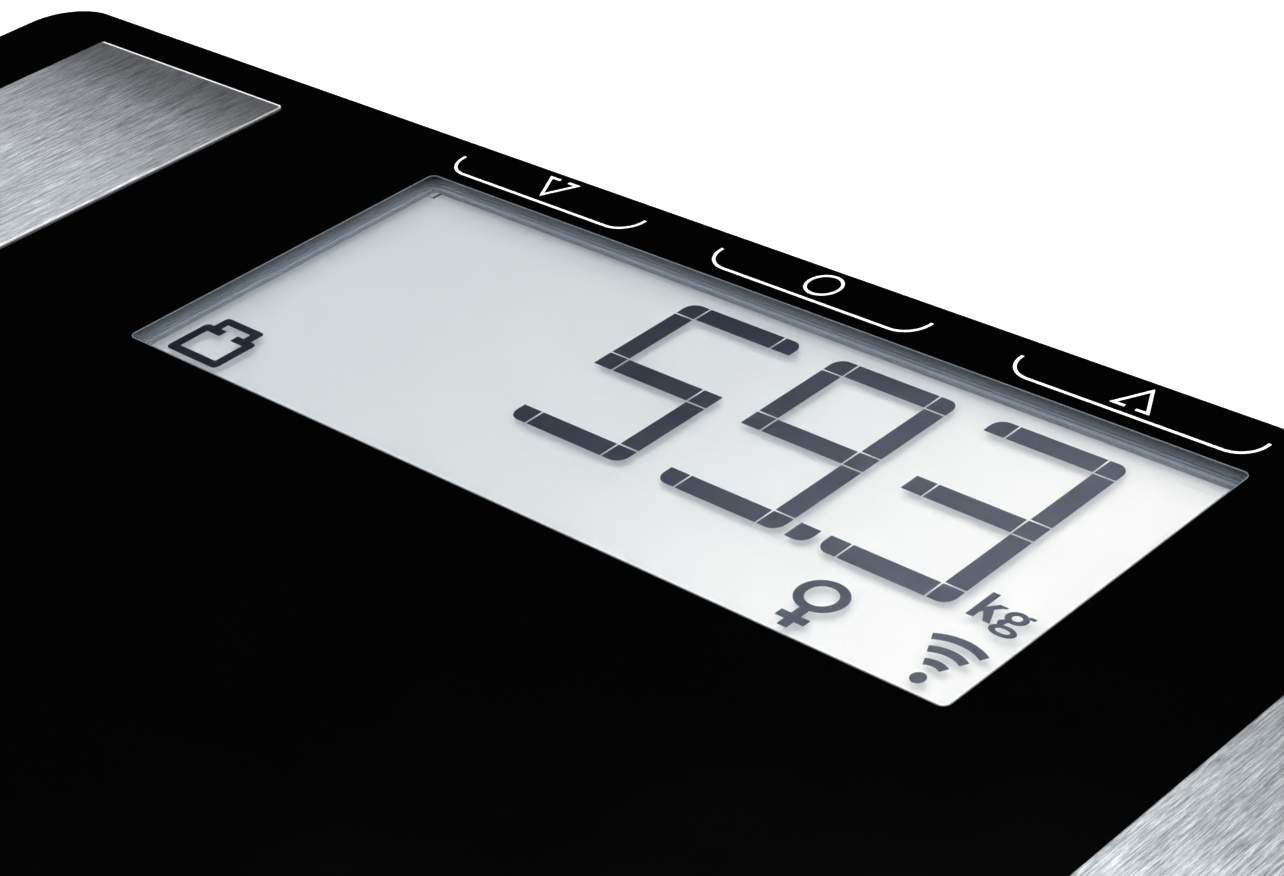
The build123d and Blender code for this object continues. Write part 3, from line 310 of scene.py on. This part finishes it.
def lcd_ink(low, high):
    """The dark segments, navy on the left and paler on the right, where a painted glare lightens them.
    """
    paint = Paint("lcd_ink")
    body = paint.shader(Specular_IOR_Level=0.02)
    # painted glare: the ink colour pales from left to right
    painted_glare = paint.ramp(paint.along("X", low[0], high[0]),
                        [(0.0, (0.002, 0.004, 0.008)), (0.5, (0.010, 0.013, 0.021)),
                         (1.0, (0.036, 0.042, 0.055))])
    grain = paint.noise(0.4 * MM, detail=2.0)
    soft = paint.ramp(grain, [(0.3, (0.94, 0.94, 0.94)), (0.7, (1.0, 1.0, 1.0))])
    paint.link(paint.mix(1.0, painted_glare, soft, "MULTIPLY"), body.inputs["Base Color"])
    paint.link(paint.span(grain, 0.4, 0.55), body.inputs["Roughness"])
    return paint.finish(body)


def bezel(reflector_top):
    """The display frame's grey plastic. Its post tops, level with the reflector, carry the same painted
    glow.
    """
    paint = Paint("bezel_plastic")
    body = paint.shader(Specular_IOR_Level=0.3, Emission_Color=(0.87, 0.95, 1.0, 1.0))
    split = paint.add("ShaderNodeSeparateXYZ")
    paint.link(paint.place, split.inputs[0])
    # painted glow: faces at the reflector's height emit a pale blue light of their own
    level = paint.add("ShaderNodeMath", operation="COMPARE")
    level.inputs[1].default_value = reflector_top
    level.inputs[2].default_value = LEVEL_TOLERANCE
    paint.link(split.outputs["Z"], level.inputs[0])
    paint.link(paint.span(level.outputs[0], 0.0, 0.42), body.inputs["Emission Strength"])
    grain = paint.noise(0.3 * MM, detail=2.0)
    paint.link(paint.ramp(grain, [(0.3, (0.12, 0.145, 0.175)), (0.7, (0.17, 0.20, 0.235))]),
               body.inputs["Base Color"])
    paint.link(paint.span(grain, 0.4, 0.55), body.inputs["Roughness"])
    paint.link(paint.bump(grain, 0.1, 0.03 * MM), body.inputs["Normal"])
    return paint.finish(body)


def board_laminate():
    """Green solder mask with the pattern of the copper under it."""
    paint = Paint("board_laminate")
    body = paint.shader(Specular_IOR_Level=0.5)
    tracks = paint.add("ShaderNodeTexBrick", offset=0.35)
    tracks.inputs["Scale"].default_value = 220.0
    tracks.inputs["Mortar Size"].default_value = 0.06
    tracks.inputs["Color1"].default_value = (0.012, 0.115, 0.045, 1)
    tracks.inputs["Color2"].default_value = (0.015, 0.14, 0.055, 1)
    tracks.inputs["Mortar"].default_value = (0.03, 0.22, 0.09, 1)
    paint.link(paint.place, tracks.inputs["Vector"])
    paint.link(tracks.outputs["Color"], body.inputs["Base Color"])
    paint.link(paint.span(paint.noise(2 * MM), 0.28, 0.4), body.inputs["Roughness"])
    paint.link(paint.bump(tracks.outputs["Fac"], 0.2, 0.03 * MM), body.inputs["Normal"])
    return paint.finish(body)


def battery_sleeve():
    """The printed sleeve of an AAA cell, with a copper band at one end."""
    paint = Paint("battery_sleeve")
    body = paint.shader(Metallic=0.6, Coat_Weight=0.4, Coat_Roughness=0.1)
    low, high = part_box("battery_cells")
    band = paint.ramp(paint.along("X", low[0], high[0]),
                      [(0.0, (0.45, 0.20, 0.06)), (0.2, (0.45, 0.20, 0.06)), (0.22, (0.02, 0.02, 0.022)),
                       (1.0, (0.025, 0.025, 0.028))])
    marks = paint.noise(1.5 * MM, (0.1, 1, 1))
    tone = paint.ramp(marks, [(0.3, (0.9, 0.9, 0.9)), (0.7, (1.0, 1.0, 1.0))])
    paint.link(paint.mix(1.0, band, tone, "MULTIPLY"), body.inputs["Base Color"])
    paint.link(paint.span(marks, 0.25, 0.35), body.inputs["Roughness"])
    return paint.finish(body)


def blank_label():
    """A plain silver label with a faint fibre and no lettering."""
    paint = Paint("blank_label")
    body = paint.shader(Metallic=0.3)
    fibre = paint.noise(0.8 * MM, (1, 0.2, 1))
    paint.link(paint.ramp(fibre, [(0.3, (0.55, 0.56, 0.57)), (0.7, (0.66, 0.67, 0.68))]),
               body.inputs["Base Color"])
    paint.link(paint.span(fibre, 0.35, 0.5), body.inputs["Roughness"])
    return paint.finish(body)


def paint_nodes():
    """Give every CAD node its finished material."""
    lcd_low, lcd_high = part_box("lcd_reflector")
    glass = clear_glass("platform_glass", (0.992, 0.996, 0.996))
    lcd_glass = lcd_cell_glass()
    steel = electrode_steel()
    fastener = metal("fastener_steel", (0.55, 0.55, 0.56), 0.3, 0.4 * MM)
    cell_steel = metal("load_cell_steel", (0.48, 0.48, 0.49), 0.36, 0.5 * MM, (1, 0.1, 1))
    can = metal("can_metal", (0.68, 0.68, 0.69), 0.32, 0.6 * MM)
    brass = metal("tinned_brass", (0.72, 0.66, 0.52), 0.3, 0.4 * MM)
    spring = metal("spring_wire", (0.74, 0.74, 0.73), 0.18, 0.3 * MM)
    tray_plastic = moulded("tray_plastic", (0.020, 0.0205, 0.022), 0.5, 0.28 * MM, relief=0.3)
    foot_plastic = moulded("foot_plastic", (0.030, 0.030, 0.033), 0.45, 0.25 * MM, relief=0.25)
    rubber = moulded("sole_rubber", (0.055, 0.056, 0.058), 0.72, 0.35 * MM, relief=0.35, specular=0.3)
    button = moulded("button_plastic", (0.20, 0.205, 0.215), 0.42, 0.2 * MM)
    nylon = moulded("nylon", (0.74, 0.73, 0.69), 0.42, 0.3 * MM, contrast=0.08)
    socket = moulded("socket_plastic", (0.78, 0.75, 0.66), 0.4, 0.3 * MM, contrast=0.08)
    chip = moulded("chip_plastic", (0.022, 0.022, 0.023), 0.5, 0.15 * MM)
    pvc = moulded("lead_pvc", (0.018, 0.018, 0.019), 0.38, 0.4 * MM)
    silicone = moulded("zebra_silicone", (0.42, 0.42, 0.43), 0.6, 0.3 * MM)
    film = moulded("polyimide", (0.42, 0.17, 0.03), 0.25, 0.5 * MM)
    tape = moulded("foam_tape", (0.03, 0.03, 0.03), 0.8, 0.3 * MM)
    finishes = {
        "glass_platform": glass,
        "black_print": gloss_print(),
        "key_legends": white_print(),
        "electrode_studs": fastener,
        "electrode_bushes": nylon,
        "electrode_terminals": brass,
        "electrode_nuts": fastener,
        "display_frame": bezel(lcd_high[2]),
        "lcd_front_glass": lcd_glass,
        "lcd_rear_glass": lcd_glass,
        "lcd_segments": lcd_ink(lcd_low, lcd_high),
        "lcd_reflector": lcd_ground(lcd_low, lcd_high),
        "zebra_strips": silicone,
        "main_board": board_laminate(),
        "board_screws": fastener,
        "controller_chip": chip,
        "radio_module": can,
        "timing_crystal": can,
        "board_passives": chip,
        "board_sockets": socket,
        "touch_film": film,
        "touch_pads": brass,
        "tray": tray_plastic,
        "glass_tape": tape,
        "info_label": blank_label(),
        "strain_gauges": film,
        "cap_screws": fastener,
        "battery_cells": battery_sleeve(),
        "battery_springs": spring,
        "battery_contacts": fastener,
        "battery_door": tray_plastic,
        "door_latch": tray_plastic,
        "unit_button": button,
        "switch_plunger": chip,
        "unit_switch": can,
        "lead_clips": nylon,
        "supply_leads": pvc,
        "electrode_leads": pvc,
        "load_leads": pvc,
    }
    for corner in CORNER_NAMES:
        finishes[f"electrode_{corner}"] = steel
        finishes[f"foot_carrier_{corner}"] = foot_plastic
        finishes[f"foot_sole_{corner}"] = rubber
        finishes[f"load_cell_{corner}"] = cell_steel
        finishes[f"load_cap_{corner}"] = tray_plastic
    for node, material in finishes.items():
        mesh = NODES[node].data
        mesh.materials.clear()
        mesh.materials.append(material)


# ---------------------------------------------------------------- floor, lights, camera
def add_floor():
    mesh = bpy.data.meshes.new("floor")
    corners = [(x * FLOOR_HALF, y * FLOOR_HALF, 0) for x, y in ((-1, -1), (1, -1), (1, 1), (-1, 1))]
    mesh.from_pydata(corners, [], [(0, 1, 2, 3)])
    floor = bpy.data.objects.new("floor", mesh)
    bpy.context.scene.collection.objects.link(floor)
    paint = Paint("pale_floor")
    body = paint.shader(Roughness=0.9, Specular_IOR_Level=0.1)
    cloud = paint.noise(0.4, detail=2.0)
    paint.link(paint.ramp(cloud, [(0.3, (0.93, 0.93, 0.93)), (0.7, (0.95, 0.95, 0.95))]),
               body.inputs["Base Color"])
    mesh.materials.append(paint.finish(body))


def add_softbox(name, place, width, height, watts):
    """A rectangular lamp that faces the middle of the floor."""
    data = bpy.data.lights.new(name, "AREA")
    data.shape = "RECTANGLE"
    data.size = width
    data.size_y = height
    data.energy = watts
    light = bpy.data.objects.new(name, data)
    light.location = place
    light.rotation_euler = (-Vector(place)).to_track_quat("-Z", "Y").to_euler()
    bpy.context.scene.collection.objects.link(light)


def add_lights():
    world = bpy.data.worlds.new("studio")
    world.use_nodes = True
    world.node_tree.nodes["Background"].inputs["Color"].default_value = WORLD_COLOUR
    bpy.context.scene.world = world
    add_softbox("key_light", (-0.49, 0.49, 1.10), 0.6, 0.6, 11)
    add_softbox("top_light", (0.25, -0.25, 1.7), 1.7, 1.7, 50)
    add_softbox("side_light", (1.1, 0.35, 0.9), 1.0, 0.8, 8)


def add_camera():
    """The camera, from its bearing, height and roll about the line of sight."""
    data = bpy.data.cameras.new("camera")
    data.sensor_width = CAMERA_SENSOR
    data.lens = CAMERA_LENS
    data.clip_start = CAMERA_CLIP
    camera = bpy.data.objects.new("camera", data)
    bearing, rise, roll = (math.radians(a) for a in (CAMERA_BEARING, CAMERA_RISE, CAMERA_ROLL))
    facing = (Matrix.Rotation(bearing, 4, "Z") @ Matrix.Rotation(math.pi / 2 - rise, 4, "X")
              @ Matrix.Rotation(roll, 4, "Z"))
    camera.matrix_world = Matrix.Translation(CAMERA_PLACE) @ facing
    bpy.context.scene.collection.objects.link(camera)
    bpy.context.scene.camera = camera


paint_nodes()
add_floor()
add_lights()
add_camera()
bpy.context.scene.view_settings.view_transform = "Standard"
